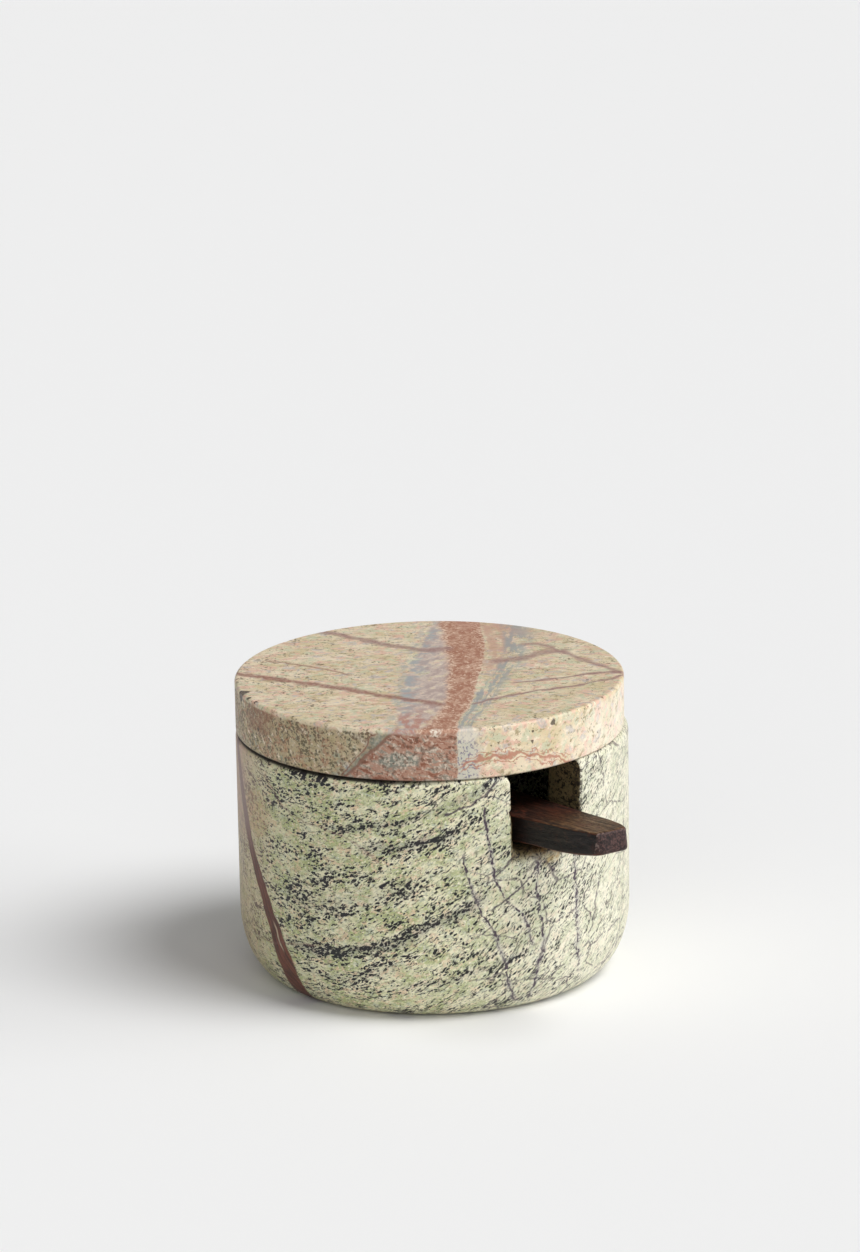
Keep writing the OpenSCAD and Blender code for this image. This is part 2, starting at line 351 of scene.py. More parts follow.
class Shade:
    """One material's nodes, and the colour painted so far. A node's inputs are numbers, colours or other
    nodes' results."""

    def __init__(self, name):
        self.material = bpy.data.materials.new(name)
        self.material.use_nodes = True
        self.tree = self.material.node_tree
        self.surface = self.tree.nodes["Principled BSDF"]
        self.here = self.add("TexCoord", {}, "Object")
        self.colour = None

    def add(self, kind, inputs, output=0, **settings):
        """A new node's output, its inputs given by name or number."""
        node = self.tree.nodes.new("ShaderNode" + kind)
        for name, value in settings.items():
            setattr(node, name, value)
        for name, value in inputs.items():
            self.put(node.inputs[name], value)
        return node.outputs[output]

    def put(self, socket, value):
        """Links or sets one input."""
        if isinstance(value, bpy.types.NodeSocket):
            self.tree.links.new(value, socket)
        else:
            socket.default_value = value

    def math(self, operation, a, b=0.0):
        return self.add("Math", {0: a, 1: b}, operation=operation)

    def chain(self, operation, values):
        """One result of several values, joined one after the other."""
        result = values[0]
        for value in values[1:]:
            result = self.math(operation, result, value)
        return result

    def plus(self, *values):
        return self.chain("ADD", values)

    def times(self, *values):
        return self.chain("MULTIPLY", values)

    def most(self, *values):
        """The largest of several values."""
        return self.chain("MAXIMUM", values)

    def minus(self, a, b):
        return self.math("SUBTRACT", a, b)

    def absolute(self, a):
        return self.math("ABSOLUTE", a)

    def vector(self, operation, a, b, c=(0, 0, 0)):
        return self.add("VectorMath", {0: a, 1: b, 2: c}, operation=operation)

    def scaled(self, a, factor):
        return self.add("VectorMath", {0: a, "Scale": factor}, operation="SCALE")

    def dot(self, a, b):
        return self.add("VectorMath", {0: a, 1: b}, "Value", operation="DOT_PRODUCT")

    def split(self, a):
        """The three parts of a place or a colour."""
        return self.add("SeparateXYZ", {0: a}).node.outputs[:3]

    def noise(self, place, size=1, detail=2.0, rough=0.5, output="Fac"):
        """Noise about 0.5 that changes over size."""
        inputs = {"Vector": place, "Scale": 1 / size, "Detail": detail, "Roughness": rough}
        return self.add("TexNoise", inputs, output)

    def grained(self, place, normal, along, across, detail=2.0, rough=0.5):
        """Noise that changes over along, but over across in the direction of normal."""
        return self.noise(self.stretch(place, normal, along, across), 1, detail, rough)

    def cracks(self, place):
        """Distance from the edges of cells that are about 1 across."""
        inputs = {"Vector": place, "Scale": 1.0}
        return self.add("TexVoronoi", inputs, "Distance", feature="DISTANCE_TO_EDGE")

    def flecks(self, place, crowd, largest):
        """How far outside a fleck each place is. Each cell holds one fleck, sized by chance and by crowd."""
        cells = self.add("TexVoronoi", {"Vector": place, "Scale": 1.0}, "Distance")
        chance = self.split(cells.node.outputs["Color"])[0]
        return self.minus(cells, self.step(self.plus(chance, crowd), 0.75, 1.3, 0.0, largest))

    def warp(self, place, size, reach, detail=2.0):
        """The same place, pushed about by up to half of reach."""
        push = self.noise(place, size, detail, 0.5, "Color")
        start = self.vector("SUBTRACT", place, (reach / 2,) * 3)
        return self.vector("MULTIPLY_ADD", push, (reach,) * 3, start)

    def stretch(self, place, normal, along, across):
        """Places in units of along, or of across in the direction of normal."""
        normal = Vector(normal).normalized()
        out = self.scaled(normal, self.dot(place, normal * (1 / across - 1 / along)))
        return self.vector("MULTIPLY_ADD", place, (1 / along,) * 3, out)

    def step(self, value, low, high, start=0.0, end=1.0):
        """An even change from start to end as value goes from low to high."""
        inputs = {"Value": value, "From Min": low, "From Max": high, "To Min": start, "To Max": end}
        return self.add("MapRange", inputs, interpolation_type="SMOOTHSTEP")

    def within(self, value, low, high, soft=1.0):
        """1 from low to high, and 0 outside them."""
        rise = self.step(value, low - soft, low + soft)
        return self.times(rise, self.step(value, high - soft, high + soft, 1.0, 0.0))

    def line(self, value, half, soft):
        """1 where value is closer to zero than half."""
        return self.step(self.absolute(value), half - soft, half + soft, 1.0, 0.0)

    def spot(self, place, middle, reach):
        """1 within reach of a point, fading out at its rim."""
        far = self.add("VectorMath", {0: place, 1: middle}, "Value", operation="DISTANCE")
        return self.step(far, reach * 0.7, reach, 1.0, 0.0)

    def course(self, value, *points):
        """A smooth curve through points, read at value."""
        low, high = points[0][0], points[-1][0]
        least, most = min(y for _, y in points), max(y for _, y in points)
        share = self.add("MapRange", {"Value": value, "From Min": low, "From Max": high})
        curve = self.add("FloatCurve", {"Value": share})
        row = curve.node.mapping.curves[0].points
        while len(row) < len(points):
            row.new(0.5, 0.5)
        for spot, (x, y) in zip(row, points):
            spot.location = (x - low) / (high - low), (y - least) / (most - least)
        curve.node.mapping.update()
        return self.add("MapRange", {"Value": curve, "To Min": least, "To Max": most})

    def off_course(self, value, along, points):
        """How far value is past a curve through points, read at along, and 1 between the curve's ends."""
        ends = self.within(along, points[0][0], points[-1][0])
        return self.minus(value, self.course(along, *points)), ends

    def mix(self, share, a, b, blend="MIX"):
        """Colour a, or b where share is 1."""
        return self.add("Mix", {0: share, 6: a, 7: b}, 2, data_type="RGBA", blend_type=blend)

    def fade(self, value, low, high, a, b):
        """From colour a to colour b as value goes from low to high."""
        return self.mix(self.step(value, low, high), a, b)

    def paint(self, share, colour):
        """Lays a colour over the colour so far."""
        self.colour = self.mix(share, self.colour, colour)

    def darken(self, share, colour):
        """Darkens the colour so far by a colour."""
        self.paint(share, self.mix(1.0, self.colour, colour, "MULTIPLY"))

    def finish(self, piece, rough, height, reach):
        """Sets the surface and puts the material on the piece."""
        self.put(self.surface.inputs["Base Color"], self.colour)
        self.put(self.surface.inputs["Roughness"], rough)
        bump = self.add("Bump", {"Height": height, "Distance": reach * MM})
        self.put(self.surface.inputs["Normal"], bump)
        piece.data.materials.append(self.material)


class Stone(Shade):
    """A material of stone in layers. Its places are in millimetres: X is right as the camera sees it, Y near
    to it and Z up. They are also kept pushed about loosely and finely. Out is the distance from the axis."""

    def __init__(self, name, layer, *push):
        super().__init__(name)
        sides = [self.dot(self.here, axis / MM) for axis in (RIGHT, NEAR, Vector((0, 0, 1)))]
        self.place = self.add("CombineXYZ", dict(zip("XYZ", sides)))
        self.right, self.near, self.up = self.split(self.place)
        flat = self.add("CombineXYZ", dict(zip("XY", sides)))
        self.out = self.add("VectorMath", {0: flat}, "Value", operation="LENGTH")
        self.loose = self.warp(self.place, *push)
        self.fine = self.warp(self.place, 1.4, 0.9)
        self.layer = layer

    def layered(self, along, across, detail, rough):
        """Loose noise in the stone's layers."""
        return self.grained(self.loose, self.layer, along, across, detail, rough)


# Bands where the pot's flecks crowd: each is its level, tilt, half-width, strength and ends
POT_BANDS = (
    (46, 0, 1.3, 1, -33, 12), (72.6, -0.1, 0.9, 0.7, -22, 18), (66.4, -0.16, 1.1, 0.9, -16, 6),
    (32.2, -0.3, 0.7, 0.6, -6, 18), (57.2, 0, 2.2, 0.35, -34, -6), (39.5, 0, 1.0, 0.45, -29, -7),
)
# The pot's lying cracks, as points to the right and up, and its standing ones, as points up and to the right
LYING_CRACKS = (
    ((2, 49.5), (8, 51.5), (15, 57)),
    ((12.5, 26.5), (15.8, 28.5), (19.3, 31), (25, 37.5)),
    ((13, 33.8), (18, 38.5)),
)
STANDING_CRACKS = (
    ((3, 17.4), (13.5, 15.4), (18.7, 14), (24.6, 11.2), (28.5, 9.5), (33, 7.9), (40, 6.5)),
    ((17, 21.8), (23, 20), (29, 15.8), (33, 13.8), (38, 12.8), (44, 12), (51, 11.2)),
    ((3, 20.5), (12, 23.2), (18.7, 24.3), (25, 23.2), (37, 22.9)),
    ((7, 32.3), (20, 31.9), (28, 31.8), (38, 31)),
)
# The pot's brown vein, as points up and near, and the threads beside it, as points to the right and up
VEIN = (
    (-1, 25), (2, 27), (5, 28.1), (9, 28.6), (13, 28),
    (22, 24.2), (29, 20.3), (36, 16.5), (52, 9.6), (58, 7),
)
VEIN_THREADS = (
    ((-41, 55), (-38, 53), (-31.7, 46), (-20.5, 43.5), (-12, 38)),
    ((-43, 17), (-39, 13.5), (-34, 14.8), (-25.6, 16.8)),
)


class PotStone(Stone):
    """The pot's stone, with the patches and grains that its parts share. Its grains lie on a tilt."""

    def __init__(self):
        super().__init__("pot_stone", (-0.47, 0.5, 1), 7, 3)
        self.lie = (-0.75, 0.6, 1)
        self.patches = self.layered(6, 3.5, 4, 0.6)
        self.blush = self.layered(2.2, 1.4, 4, 0.65)
        self.grain = self.grained(self.fine, self.lie, 0.9, 0.5, 3, 0.7)


def pot_ground(s):
    """Green, cream and pink patches, mottled more finely, and paler toward the right, partly painted light.
    """
    s.colour = s.fade(s.patches, 0.38, 0.6, rgb(184, 192, 133), rgb(234, 229, 194))
    pink = s.times(s.step(s.blush, 0.52, 0.62), s.step(s.right, 20, -20, 0.55, 0.9))
    s.paint(pink, rgb(228, 198, 164))
    s.paint(s.step(s.blush, 0.44, 0.34), rgb(196, 202, 176))
    s.paint(s.step(s.grain, 0.46, 0.34), rgb(158, 162, 122))
    s.paint(s.step(s.grain, 0.54, 0.66), rgb(246, 240, 214))
    # Paler toward the right, partly painted light
    s.paint(s.step(s.right, -6, 38, 0.0, 0.55), rgb(224, 221, 209))
    s.paint(s.step(s.right, -10, -38, 0.0, 0.3), rgb(150, 152, 98))


def pot_flecks(s):
    """Dark flecks, strokes, beads and threads, closest in the bands. The result is how dark each place is."""
    aside = s.split(s.loose)[0]
    bands = []
    for level, tilt, half, strength, low, high in POT_BANDS:
        offset = s.minus(s.dot(s.loose, (s.layer[0] - tilt, s.layer[1], 1)), level)
        bands.append(s.times(s.line(offset, half, half), s.within(aside, low, high, 3), strength))
    band = s.most(*bands)
    density = s.plus(s.step(s.layered(12, 3, 3, 0.6), 0.3, 0.72, -0.05, 0.036), s.times(band, 0.055))
    crowd = s.plus(s.step(density, -0.065, 0.09, -0.02, 0.68), s.step(s.right, 24, 38, 0.02, -0.25),
                   s.step(s.up, 24, 8, 0.0, -0.07))

    flecks = s.plus(s.grained(s.fine, s.lie, 1.5, 0.36, 3, 0.68), density)
    ticks = s.plus(s.grained(s.fine, s.lie, 0.6, 0.3, 2, 0.6), s.times(density, 0.7))
    strokes = s.flecks(s.stretch(s.warp(s.place, 0.9, 0.7), s.lie, 1.36, 0.53), crowd, 0.51)
    beads = s.stretch(s.warp(s.place, 0.7, 0.4), s.lie, 0.82, 0.55)
    beads = s.flecks(beads, s.plus(crowd, -0.07), 0.49)
    threads = s.line(s.plus(s.grained(s.fine, s.lie, 2.6, 1.1), -0.5), 0.014, 0.01)
    threads = s.times(threads, s.step(s.plus(s.noise(s.place, 1.3), density), 0.5, 0.56))

    pale = s.most(s.step(ticks, 0.55, 0.62), s.step(strokes, 0.22, 0.1, 0.0, 0.7))
    s.paint(s.times(pale, 0.4), rgb(240, 236, 216))
    s.paint(s.times(s.step(flecks, 0.5, 0.54), 0.35), rgb(150, 148, 128))
    s.paint(s.times(band, 0.4), rgb(130, 128, 124))
    dark = s.most(s.step(flecks, 0.57, 0.59), s.step(strokes, 0.06, 0.0), s.step(beads, 0.05, -0.01), threads)
    dark = s.times(dark, s.step(s.right, 32, 44, 1.0, 0.6))
    s.paint(dark, s.fade(s.patches, 0.4, 0.6, rgb(7, 10, 11), rgb(26, 21, 26)))
    return dark


def pot_cracks(s):
    """A net of thin cracks toward the right, and longer ones in front, with a pale halo where they stand."""
    in_front = s.step(s.near, 0, 6)
    broken = s.step(s.noise(s.place, 2.6), 0.36, 0.5)
    net = s.cracks(s.stretch(s.warp(s.place, 3, 2.2, 3), (-0.3, 0.4, 1), 15, 9))
    lines = [s.times(s.line(net, 0.013, 0.012), s.step(s.right, 2, 14, 0.1, 0.75), broken)]
    wavy = s.split(s.warp(s.warp(s.place, 3, 1.8, 3), 0.8, 0.8))
    for points in LYING_CRACKS:
        offset, ends = s.off_course(wavy[2], s.right, points)
        inside = s.times(ends, in_front)
        lines.append(s.times(s.line(offset, 0.25, 0.25), inside, s.step(broken, 0, 1, 0.6, 1.0)))
    halo = s.step(s.noise(s.place, 4), 0.4, 0.6, 0.1, 0.6)
    width = s.step(s.noise(s.place, 0.9, 3), 0.35, 0.65, -0.02, 0.32)
    for points in STANDING_CRACKS:
        offset, ends = s.off_course(wavy[0], s.up, points)
        inside = s.times(ends, in_front)
        s.paint(s.times(s.line(offset, 0.5, 0.5), halo, inside), rgb(168, 162, 160))
        dark = s.step(s.minus(s.absolute(offset), width), 0.1, -0.04)
        lines.append(s.times(dark, inside, s.step(broken, 0, 1, 0.65, 1.0)))
    s.paint(s.most(*lines), rgb(70, 56, 68))


def pot_vein(s):
    """The brown vein with its pale slit, the mauve stone above and behind it, and threads beside it."""
    side = s.step(s.right, -6, -2, 1.0, 0.0)
    offset = s.minus(s.split(s.warp(s.place, 4, 1.2))[1], s.course(s.up, *VEIN))
    vein = s.times(s.line(s.times(offset, s.step(s.up, 30, 8, 1.0, 0.8)), 1.75, 0.25), side)
    slit = s.times(s.line(s.plus(offset, -0.5), 0.18, 0.2), s.within(s.up, 13, 18.5))
    brown = s.fade(s.grained(s.place, (0, 1, 0.43), 5, 0.6), 0.35, 0.65, rgb(68, 26, 16), rgb(112, 54, 38))
    brown = s.mix(s.times(slit, 0.8), brown, rgb(200, 184, 156))
    brown = s.mix(s.times(s.step(s.up, 30, 42), 0.75), brown, rgb(150, 126, 120))

    tan = s.spot(s.warp(s.place, 3, 5, 3), (-40.3, 20.5, 43), 7)
    s.paint(s.times(tan, s.step(s.grain, 0.4, 0.6, 0.1, 0.45)), rgb(198, 152, 108))
    cloud = s.split(s.warp(s.place, 6, 14, 4))
    border = s.step(s.plus(cloud[1], s.step(s.up, 38, 57, 0.0, -3.0)), 8, 18, 1.0, 0.0)
    mauve = s.times(border, side, s.times(s.step(cloud[2], 30, 42), s.step(cloud[1], -18, -8)))
    mauve = s.times(mauve, s.step(s.noise(s.fine, 1.2, 3), 0.35, 0.6, 0.95, 0.5))
    s.paint(mauve, s.fade(s.blush, 0.4, 0.6, rgb(176, 144, 134), rgb(200, 170, 156)))
    s.paint(s.step(s.right, -34, -44, 0.0, 0.4), rgb(186, 152, 122))
    s.paint(s.times(vein, 0.96), brown)

    height = s.split(s.warp(s.place, 2.5, 1.6, 3))[2]
    for points in VEIN_THREADS:
        offset, ends = s.off_course(height, s.right, points)
        inside = s.times(ends, s.step(s.near, 8, 14))
        s.paint(s.times(s.line(offset, 0.25, 0.25), inside, 0.4), rgb(120, 84, 76))


def pot_wear_and_shade(s):
    """Painted shade darkening the notch's walls, nicked edges in the notch, a stain below the handle, and
    painted shade in the seam below the lid.
    """
    across = s.dot(s.here, (0, 1 / MM, 0))
    inward = s.dot(s.here, (1 / MM, 0, 0))
    in_notch = s.step(s.absolute(across), NOTCH_HALF + 0.15, NOTCH_HALF)
    # Painted shade on the notch's walls and floor: darkened brown, and near-black in patches
    notch_shade = s.times(in_notch, s.step(inward, 20, 26), s.step(s.up, 36, 38.5))
    s.darken(s.times(notch_shade, 0.9), rgb(142, 120, 84))
    s.paint(s.times(notch_shade, s.step(s.noise(s.fine, 0.8, 3, 0.65), 0.54, 0.6)), rgb(14, 11, 8))
    nicks = s.step(s.grained(s.place, (0, 0, 1), 1.4, 0.8, 3, 0.6), 0.48, 0.58)
    at_edge = s.times(s.within(across, NOTCH_HALF - 0.5, NOTCH_HALF + 0.8, 0.3), s.step(s.out, 42, 43.6))
    s.paint(s.times(at_edge, nicks, s.step(s.up, 37, 40), 0.85), rgb(58, 50, 40))
    below = s.spot(s.warp(s.place, 2, 2.4), (25.5, 36.5, 38.2), 4.2)
    s.darken(s.times(below, s.step(s.blush, 0.4, 0.56, 0.3, 0.75)), rgb(200, 160, 96))
    # Painted shade in the seam below the lid, on the left only
    seam_shade = s.times(s.step(s.up, POT_H - 1.0, POT_H - 0.5), s.step(s.out, 42.6, 43.3))
    s.paint(s.times(seam_shade, s.step(s.right, 12, -14), 0.95), rgb(28, 20, 16))


def stone_pot(piece):
    """Pale green stone in tilted layers, with dark flecks and cracks and one brown vein."""
    s = PotStone()
    pot_ground(s)
    dark = pot_flecks(s)
    pot_cracks(s)
    pot_vein(s)
    pot_wear_and_shade(s)
    height = s.plus(s.times(s.grain, 0.4), s.times(dark, -0.35))
    s.finish(piece, s.step(dark, 0, 1, 0.52, 0.42), height, 0.03)


# Edges of the band across the lid, as points near and to the right: its lilac stone, its rust, its right edge
LILAC_EDGE = ((-42, 0.8), (-23, -2.2), (0, -5.4), (19, -7), (44, -8))
RUST_EDGE = ((-40, 2.4), (-23, 3.6), (-2, 4.1), (20, 3.3), (37, 0.4), (44, -3))
RIGHT_EDGE = ((-44, 11.6), (-34, 12), (-24, 12.6), (-6, 11.8), (7, 10.4), (25, 8.9), (39, 5.8), (44, 5.6))
# How wide the blue-grey fan beside it opens
FAN_WIDTH = ((-44, 10), (-26, 9), (39, 3), (44, 3))
# Veins on the lid: each is its half-width, softness, strength, colour, and points to the right and near
MAUVE, BROWN, FADED = rgb(156, 122, 116), rgb(148, 102, 90), rgb(196, 150, 134)
LID_VEINS = (
    (1.4, 1.0, 0.95, BROWN, ((-45, -3.2), (-33.9, 3.4), (-21.2, 10.2), (-11.1, 16.9), (2.7, 24.3))),
    (1.4, 1.2, 0.9, MAUVE, ((-27, -37), (-15.2, -28.6), (-7.3, -22.2), (-2.2, -19.6), (5, -21))),
    (0.5, 0.5, 0.8, BROWN, ((-38.1, -12.6), (-25.8, -6.2), (-18.1, 1))),
    (1.9, 1.5, 0.85, MAUVE, ((14, -9), (20.2, -11.3), (26.7, -15.5), (32, -17))),
    (1.3, 1.4, 0.85, MAUVE, ((21, -23), (25, -22.5), (30, -16.4), (36.1, -8), (44.5, 3))),
    (0.6, 0.4, 0.95, MAUVE, ((18.5, 8.8), (29.4, 5.1), (37.7, 1.8), (44, 1))),
    (0.6, 0.4, 0.95, MAUVE, ((8.9, 24.6), (22.8, 15.7), (35.5, 9.9), (44, 3.5))),
    (3, 3, 0.35, FADED, ((6, -42), (18, -36), (30, -28))),
)
# The rust line low on the lid's side, as points to the right and up
RUST_LINE = ((5.8, 60.2), (9.6, 61.4), (14.6, 62.2), (19.5, 62), (25, 60), (31, 58))
# Chips and pits on the lid, each as its middle and reach
LID_CHIPS = (
    ((-42.7, 12.4, LID_TOP - 0.5), 1.8),
    ((-41.2, 16.8, LID_TOP - 0.3), 0.7),
    ((-39.6, 20, LID_TOP - 0.3), 0.5),
)
LID_PITS = (
    ((-38.7, 21.9, 63.2), 0.6), ((27.1, 35.3, 67.6), 0.75), ((22.6, 38.4, 66.6), 0.5),
    ((22.3, 38.5, 64.2), 0.45), ((34.1, 28.6, 60.2), 0.4), ((13.7, 42.4, 67.2), 0.4),
    ((30.3, 32.6, 65.8), 0.35), ((35.8, 26.4, 66.5), 0.35),
)


class LidStone(Stone):
    """The lid's stone, with the patches and grains that its parts share. Down is the depth below its top, and
    lilac, rusty and edge are how far each place is inside the band's three edges."""

    def __init__(self):
        super().__init__("lid_stone", (0.14, 1, 0.8), 5, 3, 3)
        self.down = self.plus(self.times(self.up, -1), LID_TOP)
        self.on_side = self.step(self.down, 0.5, 1.4)
        self.in_front = self.times(self.on_side, self.step(self.near, 10, 25))
        self.blush = self.layered(3.4, 2, 4, 0.62)
        self.tints = self.grained(self.warp(self.place, 4, 4), self.layer, 3.6, 2.2, 4, 0.62)
        self.streaks = self.grained(self.fine, self.layer, 1.9, 0.9, 4, 0.7)
        self.grains = self.noise(self.fine, 0.7, 3, 0.6)
        self.marble = self.grained(self.loose, (1, 0.1, 0.5), 4.5, 1.6, 4, 0.65)
        self.wavy = self.split(self.warp(self.place, 4, 3.2, 4))
        aside = self.split(self.loose)[0]
        self.lilac = self.plus(self.minus(aside, self.course(self.near, *LILAC_EDGE)), self.down)
        self.rusty = self.minus(aside, self.course(self.near, *RUST_EDGE))
        ragged = self.split(self.warp(self.place, 2, 1.1, 3))[0]
        self.edge = self.minus(self.course(self.near, *RIGHT_EDGE), ragged)


def lid_ground(s):
    """Golden and cream, with blush, green and grey patches, painted shade down the left of the side, and the
    side paler to the right, partly painted light.
    """
    shaded = s.times(s.on_side, s.step(s.right, 2, -20))
    s.colour = s.fade(s.layered(9, 5, 3, 0.6), 0.36, 0.62, rgb(212, 194, 154), rgb(232, 215, 186))
    s.paint(s.step(s.blush, 0.5, 0.6, 0.0, 0.9), rgb(224, 184, 162))
    s.paint(s.step(s.tints, 0.52, 0.62, 0.0, 0.8), rgb(200, 202, 172))
    s.paint(s.step(s.tints, 0.46, 0.36, 0.0, 0.8), rgb(192, 184, 178))
    # Painted shade down the left of the side, green-grey in places
    s.paint(s.times(shaded, 0.7), rgb(164, 147, 106))
    s.paint(s.times(shaded, s.step(s.tints, 0.54, 0.66, 0.0, 0.6)), rgb(150, 156, 140))
    # The side paler toward the right, partly painted light
    s.paint(s.times(s.on_side, s.step(s.right, 24, 42, 0.0, 0.35)), rgb(236, 232, 222))
    s.paint(s.step(s.streaks, 0.46, 0.34, 0.0, 0.9), rgb(162, 146, 110))
    s.paint(s.step(s.streaks, 0.55, 0.68, 0.0, 0.8), rgb(244, 230, 206))


def lid_specks(s):
    """Dark specks, more of them toward the left, and thin rusty lines there. The result is the specks."""
    patches = s.step(s.noise(s.place, 4, 3, 0.6), 0.38, 0.62, -0.2, 0.35)
    crowd = s.plus(s.step(s.right, -44, 0, 0.2, 0.0), patches,
                   s.times(s.on_side, s.step(s.right, -24, 6, 0.6, -0.15)))
    large = s.stretch(s.warp(s.place, 0.8, 0.7), s.layer, 1.0, 0.8)
    large = s.plus(s.flecks(large, s.plus(crowd, -0.1), 0.4), s.noise(s.place, 0.35))
    small = s.plus(s.noise(s.fine, 0.6, 3, 0.65), s.times(crowd, 0.12))
    specks = s.most(s.step(large, 0.56, 0.46), s.step(small, 0.64, 0.68))
    s.paint(s.times(specks, 0.8), s.fade(s.blush, 0.45, 0.6, rgb(70, 64, 42), rgb(98, 72, 52)))
    lines = s.line(s.plus(s.noise(s.warp(s.place, 3, 3, 3), 4, 3), -0.5), 0.015, 0.02)
    s.paint(s.times(s.on_side, s.step(s.right, -10, -30), lines, 0.7), rgb(170, 116, 86))
    return specks


def band_on_top(s):
    """Rust with pale grains along its edges, and to its left lilac stone that the ground shows through."""
    rust = s.fade(s.marble, 0.4, 0.6, rgb(172, 122, 98), rgb(198, 158, 134))
    rust = s.mix(s.step(s.grains, 0.47, 0.38, 0.0, 0.7), rust, rgb(156, 102, 80))
    margin = s.most(s.line(s.rusty, 0.8, 1.4), s.line(s.edge, 0.8, 1.2))
    light = s.step(s.plus(s.grains, s.times(margin, 0.1)), 0.58, 0.64, 0.0, 0.8)
    rust = s.mix(light, rust, rgb(232, 206, 182))
    veiled = s.grained(s.loose, (1, 0.5, 0.5), 4, 1.8, 4, 0.62)
    pale = s.fade(veiled, 0.36, 0.6, rgb(182, 162, 154), rgb(212, 194, 180))
    pale = s.mix(s.step(s.grains, 0.45, 0.36, 0.0, 0.6), pale, rgb(164, 144, 140))
    bluish = s.times(s.step(s.lilac, 6, 1), s.step(s.tints, 0.42, 0.6, 0.0, 0.8))
    pale = s.mix(bluish, pale, rgb(160, 168, 170))
    pale = s.mix(s.times(s.step(s.near, 22, 38), s.step(s.marble, 0.42, 0.58)), pale, rgb(184, 138, 124))
    pale = s.mix(s.step(veiled, 0.5, 0.66, 0.0, 0.8), pale, s.colour)
    return s.fade(s.plus(s.rusty, s.times(s.grains, 3)), 0.3, 2.1, pale, rust)


def band_on_side(s):
    """Rust marbled with grey, and a grey patch in its middle."""
    swirl = s.grained(s.warp(s.place, 3, 3.5, 3), (0.3, 0.3, 1), 4, 1.2, 4, 0.65)
    torn = s.split(s.warp(s.place, 2.5, 4, 4))
    patch = s.plus(s.math("POWER", s.times(s.plus(torn[0], 7), 0.22), 2),
                   s.math("POWER", s.times(s.plus(torn[2], -62), 0.5), 2))
    patch = s.most(s.step(patch, 1.3, 0.6), s.step(swirl, 0.5, 0.6, 0.0, 0.8))
    grey = s.fade(s.grains, 0.4, 0.6, rgb(122, 124, 112), rgb(192, 180, 162))
    band = s.mix(patch, s.fade(swirl, 0.38, 0.5, rgb(138, 84, 60), rgb(180, 138, 116)), grey)
    band = s.mix(s.step(s.grains, 0.58, 0.64, 0.0, 0.7), band, rgb(220, 200, 180))
    return s.mix(s.step(s.noise(s.fine, 0.9, 3), 0.44, 0.38, 0.0, 0.7), band, rgb(104, 72, 54))


def lid_fan(s):
    """Right of the band, tan streaks at the back and a fan of blue-grey ones, and grey along its left."""
    _, y, z = s.split(s.loose)
    fan = s.math("DIVIDE", s.edge, s.course(s.near, *FAN_WIDTH))
    fanned = s.add("CombineXYZ", {"X": s.times(fan, 5), "Y": s.times(y, 0.11), "Z": s.times(z, 0.3)})
    veil = s.noise(fanned, 1, 4, 0.62)
    tan = s.times(s.within(fan, -0.8, 0, 0.12), s.step(s.near, 8, -14), s.step(veil, 0.36, 0.56, 0.2, 1.0))
    s.paint(s.times(tan, 0.75), rgb(198, 158, 138))
    fan = s.times(s.step(fan, -1.5, -0.9), s.step(s.plus(fan, s.step(s.near, 0, 25, 0.5, 0.0)), 0.08, -0.12))
    s.paint(s.times(fan, s.step(veil, 0.42, 0.54, 0.1, 0.8)), rgb(152, 158, 158))
    flank = s.times(s.within(s.lilac, -2.5, 0, 1.5), s.step(s.marble, 0.46, 0.6, 0.0, 0.6))
    s.paint(flank, s.fade(s.blush, 0.4, 0.6, rgb(150, 156, 160), rgb(194, 190, 180)))


def lid_violet(s):
    """Violet specks right of the band on the side."""
    ragged = s.split(s.warp(s.place, 2.5, 6, 5))[0]
    beside = s.times(s.within(ragged, 4, 10.5, 1.2), s.step(s.edge, 0.2, -0.2), s.on_side)
    violet = s.fade(s.noise(s.fine, 0.6), 0.54, 0.6, rgb(206, 202, 184), rgb(128, 122, 140))
    s.paint(s.times(beside, 0.8), violet)


def lid_veins(s):
    """Mauve and brown veins on the top, of uneven width."""
    across = s.plus(s.wavy[1], s.times(s.down, 0.6))
    uneven = s.step(s.noise(s.place, 5, 3, 0.6), 0.35, 0.65, 1.35, 0.7)
    for half, soft, strength, tone, points in LID_VEINS:
        offset, ends = s.off_course(across, s.right, points)
        share = s.times(s.line(s.times(offset, uneven), half, soft), ends)
        s.paint(s.times(share, s.step(s.grains, 0.62, 0.4, strength * 0.7, strength)), tone)


def lid_lines(s):
    """Lines on the side: brown ones left of the band with grey between them, and a rust one on the right."""
    thin = s.plus(s.wavy[0], 11.8, s.times(s.down, 0.72))
    between = s.times(s.step(thin, 0, 0.4), s.step(s.lilac, 0, -0.4))
    s.paint(s.times(between, s.in_front, s.step(s.grains, 0.4, 0.6, 0.3, 0.8)), rgb(124, 126, 108))
    diagonals = s.most(s.line(thin, 0.2, 0.15), s.line(s.lilac, 0.45, 0.3))
    s.paint(s.times(diagonals, s.in_front, 0.8), rgb(128, 84, 66))
    height = s.split(s.warp(s.place, 2.4, 5, 4))[2]
    offset = s.minus(height, s.course(s.right, *RUST_LINE))
    low = s.most(s.line(offset, 0.45, 0.25), s.line(s.plus(offset, 1.3), 0.15, 0.15),
                 s.line(s.plus(offset, -1.1), 0.12, 0.12))
    s.paint(s.times(low, s.within(s.right, 6, 31), s.in_front, 0.8), rgb(178, 112, 88))


